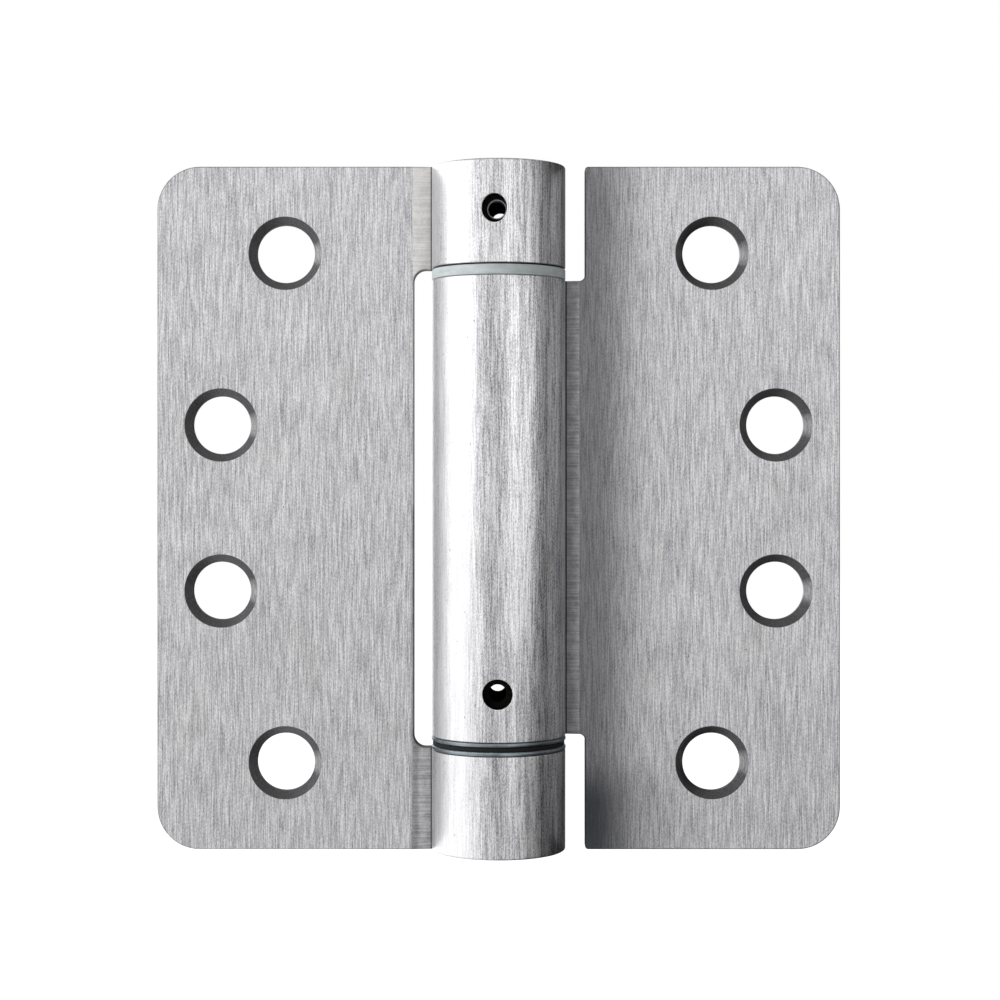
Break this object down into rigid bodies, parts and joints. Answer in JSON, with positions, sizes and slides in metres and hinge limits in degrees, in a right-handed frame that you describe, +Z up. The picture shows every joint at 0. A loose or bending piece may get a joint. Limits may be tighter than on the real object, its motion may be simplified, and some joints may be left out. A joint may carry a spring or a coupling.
{
  "type": "spring loaded door hinge",
  "caption": "Spring butt hinge with round-cornered leaves, countersunk screw holes and a barrel that holds a torsion spring, shown open flat.",
  "frame": {"origin": "on the pin axis at mid height, the centre of the bounding box", "axes": "+Z up along the pin axis, -Y out of the countersunk faces, jamb leaf towards -X and door leaf towards +X with the hinge open flat"},
  "size_m": [0.1016, 0.0198, 0.1016],
  "materials": {
    "leaf_steel": "satin plated sheet, brushed along the pin",
    "turned_steel": "turned, lightly oiled",
    "race_steel": "polished",
    "spring_steel": "dark oiled spring wire",
    "grey_nylon": "moulded, matte",
    "black_ring": "moulded, matte"
  },
  "bodies": {
    "jamb": {"jamb_leaf": "leaf_steel", "adjuster_retainer": "turned_steel", "bearing_washer": "black_ring", "lower_race": "race_steel", "pivot_plug": "turned_steel"},
    "door": {"door_leaf": "leaf_steel", "upper_bush": "grey_nylon", "torsion_spring": "spring_steel", "spring_anchor": "turned_steel", "lower_bush": "grey_nylon", "upper_race": "race_steel"},
    "adjuster": {"tension_adjuster": "turned_steel"}
  },
  "joints": [
    {"name": "leaf_swing", "type": "hinge", "parent": "jamb", "child": "door", "pos_m": [0, 0, 0], "axis": [0, 0, -1], "range_deg": [0, 180], "deforming": ["torsion_spring"]},
    {"name": "adjuster_turn", "type": "hinge", "parent": "jamb", "child": "adjuster", "pos_m": [0, 0, 0.042], "axis": [0, 0, -1], "range_deg": [0, 180], "deforming": ["torsion_spring"]}
  ]
}
